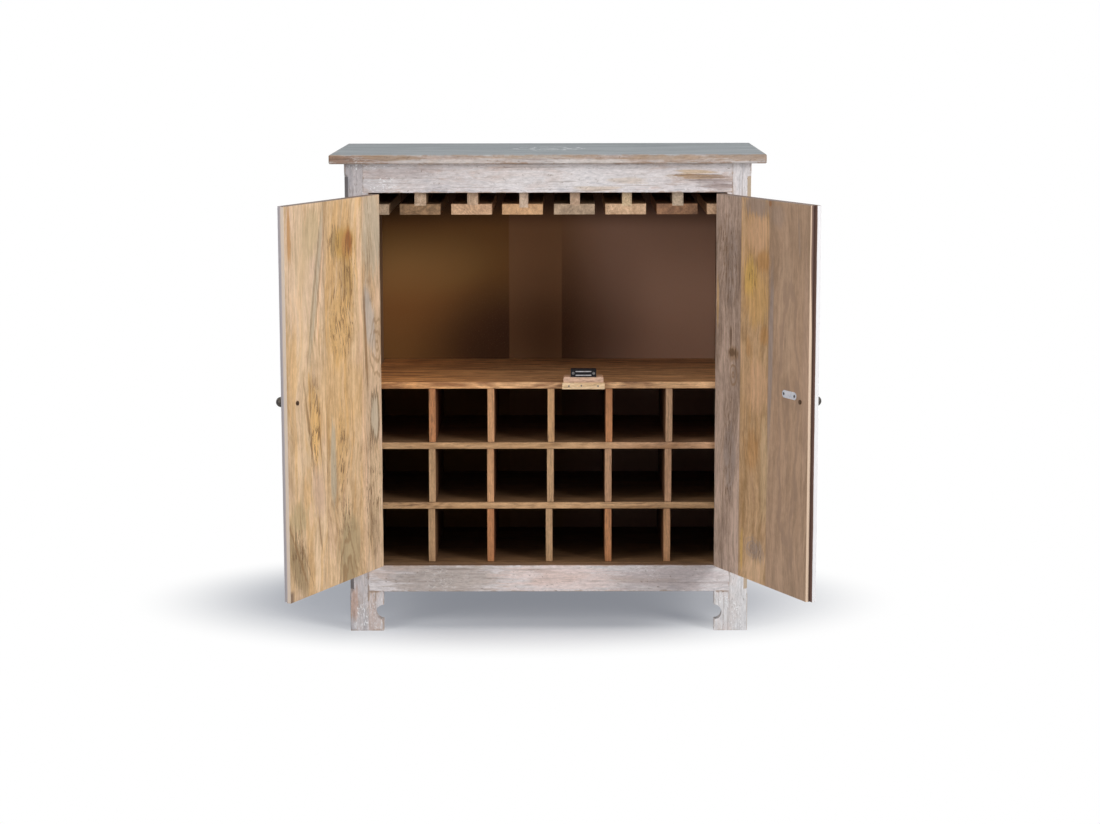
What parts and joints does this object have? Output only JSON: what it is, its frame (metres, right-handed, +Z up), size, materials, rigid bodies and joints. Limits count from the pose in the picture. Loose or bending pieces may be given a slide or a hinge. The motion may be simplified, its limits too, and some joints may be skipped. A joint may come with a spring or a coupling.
{
  "type": "wine cabinet",
  "caption": "Whitewashed wooden wine cabinet with hinged double doors, a bottle rack below an open compartment and a hanging stemware rack under the top.",
  "frame": {"origin": "on the floor, under the middle of the whole outline with both doors open as pictured", "axes": "+X to the right of someone facing the open front, +Y to the back of the cabinet, +Z up"},
  "size_m": [1.072, 0.7948, 1.01],
  "materials": {
    "top_wash": "grey wash over open grain",
    "whitewash": "worn white wash over brown wood",
    "rough_wood": "unfinished",
    "back_board": "thin brown board",
    "inner_wood": "oiled",
    "door_wood": "oiled inside, white wash outside",
    "hinge_steel": "dulled",
    "bolt_steel": "plain",
    "knob_iron": "dark",
    "catch_plastic": "black",
    "pole_steel": "bright",
    "strike_steel": "zinc plated",
    "dark_screw": "dark"
  },
  "bodies": {
    "carcass": {"back_bottom_rail": "rough_wood", "back_panel": "back_board", "back_top_rail": "rough_wood", "bottom_rail": "whitewash", "bracket_l": "whitewash", "bracket_r": "whitewash", "catch_block": "inner_wood", "catch_body": "catch_plastic", "catch_poles": "pole_steel", "catch_screws": "dark_screw", "catch_strip": "inner_wood", "deck": "inner_wood", "dividers_1": "inner_wood", "dividers_2": "inner_wood", "dividers_3": "inner_wood", "frame_leaves_l": "hinge_steel", "frame_leaves_r": "hinge_steel", "frieze_rail": "whitewash", "hinge_pins_l": "hinge_steel", "hinge_pins_r": "hinge_steel", "jamb_l": "whitewash", "jamb_r": "whitewash", "post_back_l": "whitewash", "post_back_r": "whitewash", "post_front_l": "whitewash", "post_front_r": "whitewash", "shelf_1": "inner_wood", "shelf_2": "inner_wood", "shelf_3": "inner_wood", "side_board_l": "whitewash", "side_board_r": "whitewash", "side_bottom_rail_l": "whitewash", "side_bottom_rail_r": "whitewash", "side_top_rail_l": "whitewash", "side_top_rail_r": "whitewash", "stem_rail_1": "inner_wood", "stem_rail_2": "inner_wood", "stem_rail_3": "inner_wood", "stem_rail_4": "inner_wood", "stem_rail_5": "inner_wood", "stem_rail_6": "inner_wood", "stem_strip_l": "inner_wood", "stem_strip_r": "inner_wood", "top_panel": "top_wash"},
    "left_door": {"door_l": "door_wood", "door_leaves_l": "hinge_steel", "knob_bolt_l": "bolt_steel", "knob_l": "knob_iron"},
    "right_door": {"door_leaves_r": "hinge_steel", "door_r": "door_wood", "knob_bolt_r": "bolt_steel", "knob_r": "knob_iron", "strike_plate": "strike_steel", "strike_screws": "dark_screw"}
  },
  "joints": [
    {"name": "left_door_hinge", "type": "hinge", "parent": "carcass", "child": "left_door", "pos_m": [-0.37258, -0.04964, 0.53625], "axis": [0, 0, -1], "range_deg": [-115.35, 59.65]},
    {"name": "right_door_hinge", "type": "hinge", "parent": "carcass", "child": "right_door", "pos_m": [0.36742, -0.04964, 0.53625], "axis": [0, 0, 1], "range_deg": [-116.34, 58.66]}
  ]
}
